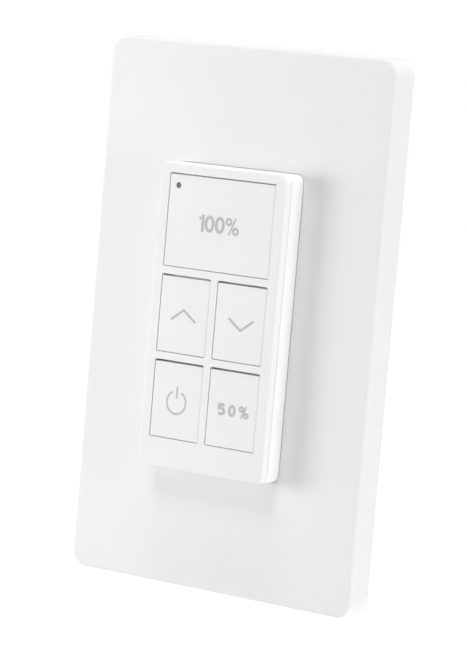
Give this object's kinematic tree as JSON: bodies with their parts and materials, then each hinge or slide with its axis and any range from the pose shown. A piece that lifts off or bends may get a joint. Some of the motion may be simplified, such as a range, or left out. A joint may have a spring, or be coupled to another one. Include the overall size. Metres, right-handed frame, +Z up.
{
  "type": "wireless remote wall switch",
  "caption": "Battery remote with a wide key above smaller keys, held by magnets in the window of a clip-on wall plate.",
  "frame": {"origin": "middle of the mounting plate's back face, in the plane of the wall", "axes": "+X to the right seen from the room, +Y into the wall, so the keys face -Y, and +Z up"},
  "size_m": [0.075, 0.0133, 0.1194],
  "materials": {
    "plate_plastic": "white moulded plastic, satin",
    "base_plastic": "white moulded plastic, matt",
    "housing_plastic": "white moulded plastic, fine matt texture",
    "key_plastic": "white moulded plastic, fine matt texture",
    "plunger_plastic": "cream moulded plastic",
    "black_plastic": "black moulded plastic, matt",
    "smoked_lens": "smoked clear plastic, polished",
    "lamp_resin": "clear yellowish resin",
    "board_laminate": "green solder mask",
    "chip_resin": "black moulded resin",
    "ceramic": "tan ceramic with tinned ends",
    "contact_metal": "nickel-washed spring brass",
    "cell_steel": "bright nickel plate",
    "magnet_metal": "nickel plate",
    "plated_steel": "zinc plate",
    "screw_steel": "zinc plate"
  },
  "bodies": {
    "wall_frame": {"wall_plate": "plate_plastic", "mounting_plate": "base_plastic", "upper_keeper": "plated_steel", "lower_keeper": "plated_steel"},
    "remote": {"front_shell": "housing_plastic", "rear_shell": "housing_plastic", "circuit_board": "board_laminate", "cell_holder": "black_plastic", "battery_clip": "contact_metal", "battery_spring": "contact_metal", "coin_cell": "cell_steel", "upper_magnet": "magnet_metal", "lower_magnet": "magnet_metal", "status_led": "lamp_resin", "radio_chip": "chip_resin", "crystal": "plated_steel", "chip_antenna": "ceramic", "capacitors": "ceramic", "resistors": "chip_resin", "case_screws": "screw_steel", "main_switch": "black_plastic", "raise_switch": "black_plastic", "lower_switch": "black_plastic", "power_switch": "black_plastic", "preset_switch": "black_plastic"},
    "battery_door": {"battery_door": "housing_plastic"},
    "key_main": {"main_key": "key_plastic", "main_plunger": "plunger_plastic", "indicator_lens": "smoked_lens"},
    "key_raise": {"raise_key": "key_plastic", "raise_plunger": "plunger_plastic"},
    "key_lower": {"lower_key": "key_plastic", "lower_plunger": "plunger_plastic"},
    "key_power": {"power_key": "key_plastic", "power_plunger": "plunger_plastic"},
    "key_preset": {"preset_key": "key_plastic", "preset_plunger": "plunger_plastic"}
  },
  "joints": [
    {"name": "remote_pull", "type": "slide", "parent": "wall_frame", "child": "remote", "axis": [0, -1, 0], "range_m": [0, 0.02]},
    {"name": "battery_door_twist", "type": "hinge", "parent": "remote", "child": "battery_door", "pos_m": [0, -0.0037, 0], "axis": [0, -1, 0], "range_deg": [0, 40]},
    {"name": "main_key_press", "type": "slide", "parent": "remote", "child": "key_main", "axis": [0, 1, 0], "range_m": [0, 0.0004], "stiffness_N_per_m": 1000, "springref_m": -0.0006},
    {"name": "raise_key_press", "type": "slide", "parent": "remote", "child": "key_raise", "axis": [0, 1, 0], "range_m": [0, 0.0004], "stiffness_N_per_m": 1000, "springref_m": -0.0006},
    {"name": "lower_key_press", "type": "slide", "parent": "remote", "child": "key_lower", "axis": [0, 1, 0], "range_m": [0, 0.0004], "stiffness_N_per_m": 1000, "springref_m": -0.0006},
    {"name": "power_key_press", "type": "slide", "parent": "remote", "child": "key_power", "axis": [0, 1, 0], "range_m": [0, 0.0004], "stiffness_N_per_m": 1000, "springref_m": -0.0006},
    {"name": "preset_key_press", "type": "slide", "parent": "remote", "child": "key_preset", "axis": [0, 1, 0], "range_m": [0, 0.0004], "stiffness_N_per_m": 1000, "springref_m": -0.0006}
  ]
}
